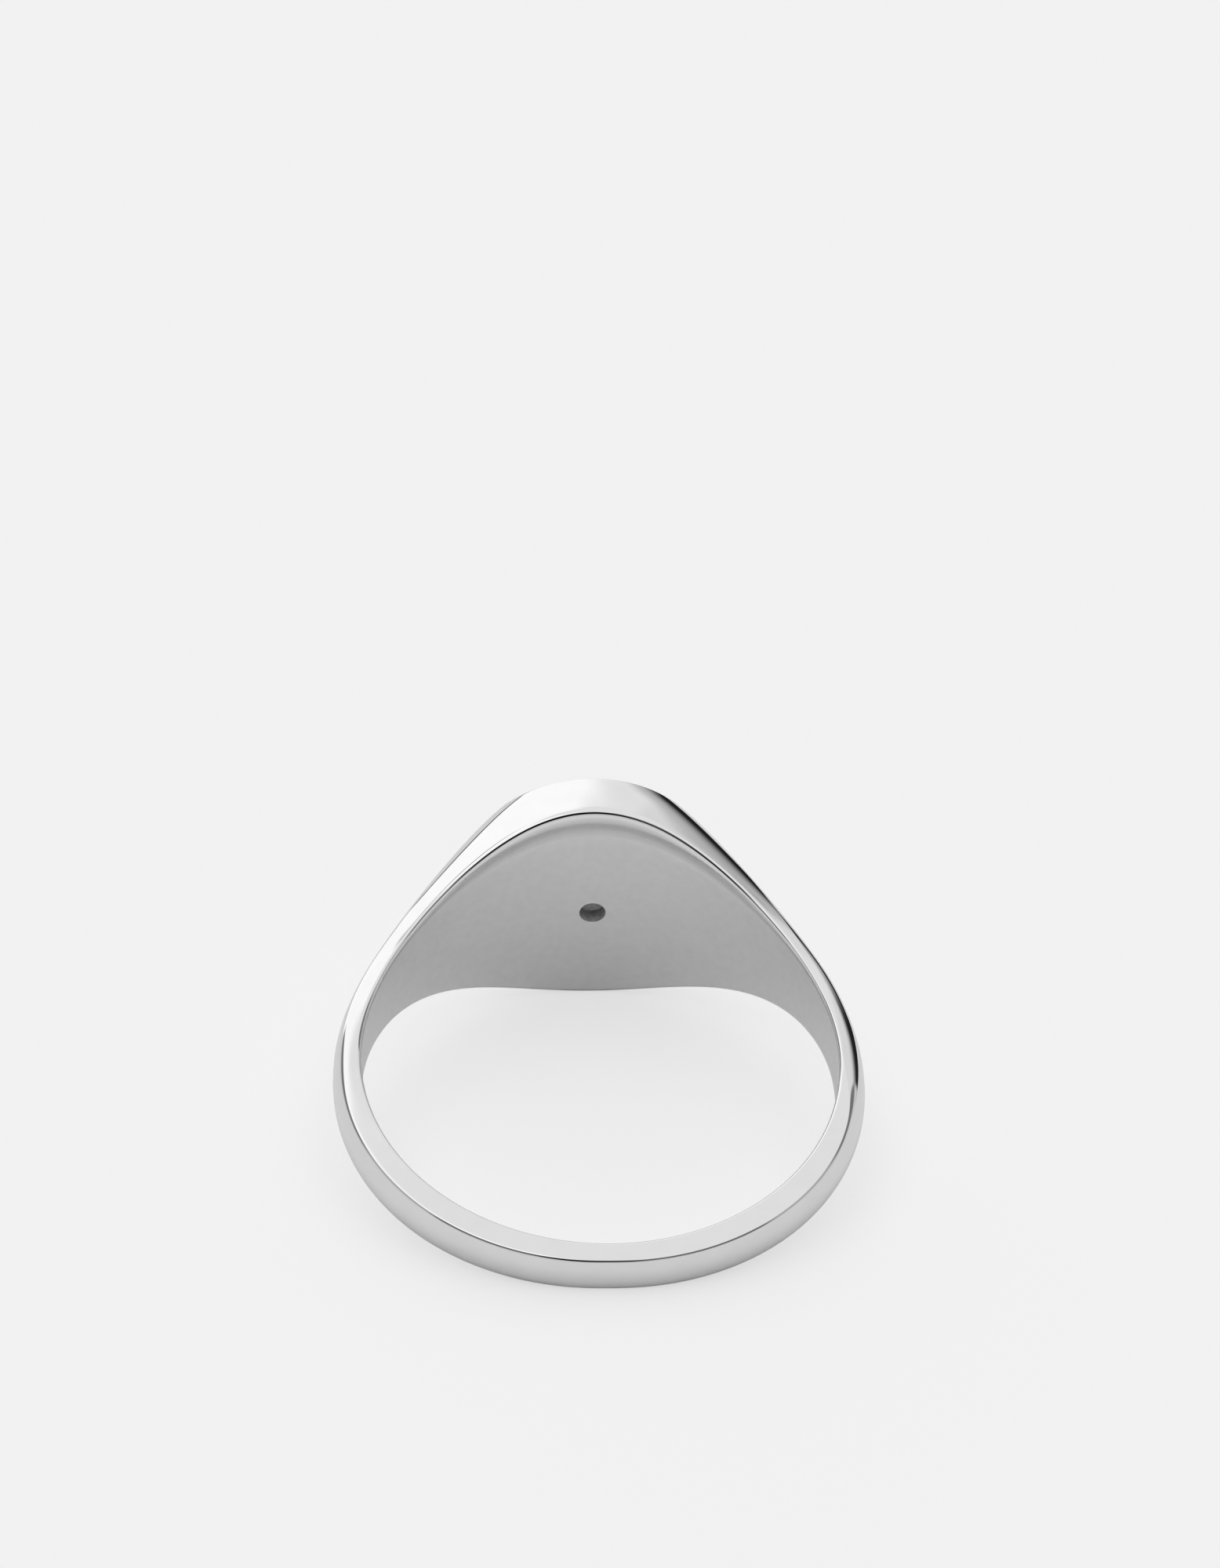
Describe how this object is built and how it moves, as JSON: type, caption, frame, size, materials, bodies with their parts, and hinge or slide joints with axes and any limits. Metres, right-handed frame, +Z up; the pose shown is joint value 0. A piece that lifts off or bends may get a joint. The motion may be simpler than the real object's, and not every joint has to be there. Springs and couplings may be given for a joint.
{
  "type": "signet ring",
  "caption": "Silver signet ring with a round flat head set with a flat dark stone, tapering shoulders and a slim domed shank, lying on its side.",
  "frame": {"origin": "centre of the bounding box's bottom face; z = 0 is the surface the ring lies on", "axes": "+Z up; +Y from the back of the shank to the signet face; +X across the head. The finger's axis lies in the YZ plane, 12.1 degrees from +Z, because the ring leans on the edge of its head"},
  "size_m": [0.0222, 0.0242, 0.0109],
  "materials": {
    "silver": "mirror polished outside, satin inside the finger hole",
    "dark_stone": "polished face, fine ground back",
    "cement": "matt"
  },
  "bodies": {
    "root": {"ring_body": "silver", "stone_inlay": "dark_stone", "bedding_cement": "cement"}
  },
  "joints": []
}
